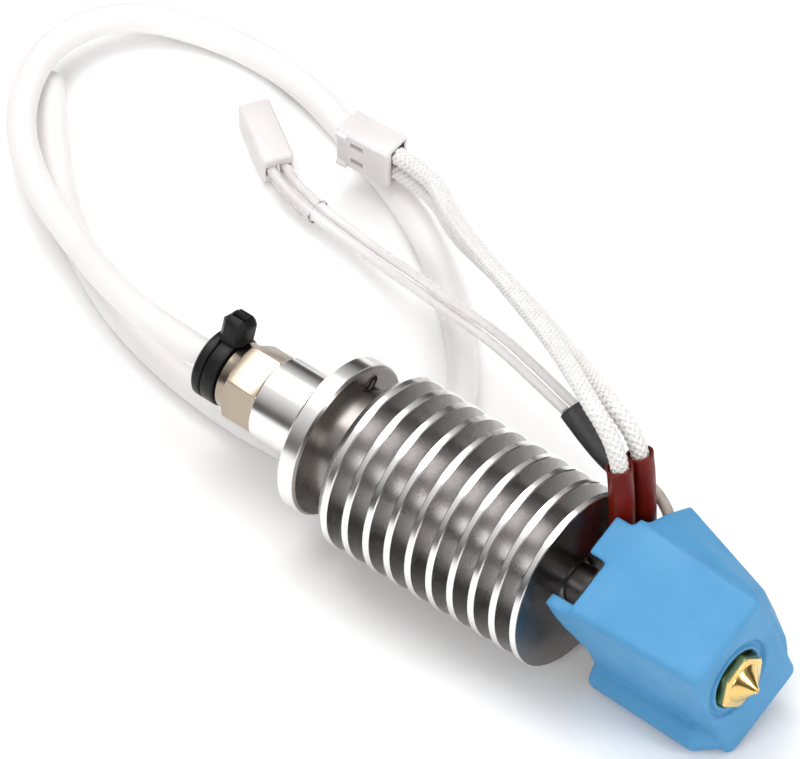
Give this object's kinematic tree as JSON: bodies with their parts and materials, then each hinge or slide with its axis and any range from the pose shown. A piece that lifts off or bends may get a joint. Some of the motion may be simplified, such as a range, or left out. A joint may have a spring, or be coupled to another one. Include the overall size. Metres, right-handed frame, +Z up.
{
  "type": "printer hotend assembly",
  "caption": "Finned hotend with heater block in a silicone sock, brass nozzle, push-fit tube coupler, filament tube, braided heater wires and thermistor lead.",
  "frame": {"origin": "on the filament axis, on the coupler-side face of the heat sink's mounting flange", "axes": "+X along the filament axis towards the nozzle, +Z up from the bench that it lies on"},
  "size_m": [0.1501, 0.0685, 0.0382],
  "materials": {
    "turned_aluminium": "fine turning marks, bright",
    "nickel_plate": "warm nickel plate on brass, satin",
    "black_plastic": "moulded acetal",
    "spring_steel": "bare spring steel",
    "seal_rubber": "nitrile rubber",
    "tie_nylon": "moulded nylon",
    "stainless_steel": "turned stainless steel",
    "block_aluminium": "milled",
    "screw_steel": "zinc plated steel",
    "nozzle_brass": "turned, bright",
    "cartridge_steel": "drawn steel sheath",
    "blue_silicone": "matte moulded silicone rubber",
    "white_ptfe": "extruded, translucent white, waxy",
    "plug_nylon": "moulded natural white nylon",
    "contact_tin": "tin plated",
    "glass_braid": "varnished white glass-fibre braid",
    "red_sleeve": "satin red-brown silicone-glass sleeving",
    "bead_steel": "drawn steel cap",
    "lead_sleeve": "translucent grey-brown sleeving",
    "black_shrink": "heat-shrink sleeve",
    "clear_sleeve": "thin clear extruded sleeve",
    "wire_ptfe": "thin extruded insulation"
  },
  "bodies": {
    "hotend": {"block_screws": "screw_steel", "cable_tie": "tie_nylon", "coupler_body": "nickel_plate", "coupler_collet": "black_plastic", "coupler_grip_ring": "spring_steel", "coupler_seal": "seal_rubber", "heat_break": "stainless_steel", "heat_sink": "turned_aluminium", "heater_block": "block_aluminium", "heater_cartridge": "cartridge_steel", "heater_contacts": "contact_tin", "heater_plug": "plug_nylon", "heater_sleeve_a": "red_sleeve", "heater_sleeve_b": "red_sleeve", "heater_wire_a": "glass_braid", "heater_wire_b": "glass_braid", "ptfe_liner": "white_ptfe", "ptfe_tube": "white_ptfe", "thermistor_bead": "bead_steel", "thermistor_clear_sleeve": "clear_sleeve", "thermistor_contacts": "contact_tin", "thermistor_lead": "lead_sleeve", "thermistor_plug": "plug_nylon", "thermistor_shrink": "black_shrink", "thermistor_wire_a": "wire_ptfe", "thermistor_wire_b": "wire_ptfe"},
    "sock": {"silicone_sock": "blue_silicone"},
    "nozzle": {"nozzle": "nozzle_brass"}
  },
  "joints": [
    {"name": "sock_pull", "type": "slide", "parent": "hotend", "child": "sock", "axis": [1, 0, 0], "range_m": [0, 0.03]},
    {"name": "nozzle_turn", "type": "hinge", "parent": "hotend", "child": "nozzle", "pos_m": [0.06, 0, 0], "axis": [1, 0, 0], "range_deg": [0, 90]}
  ]
}
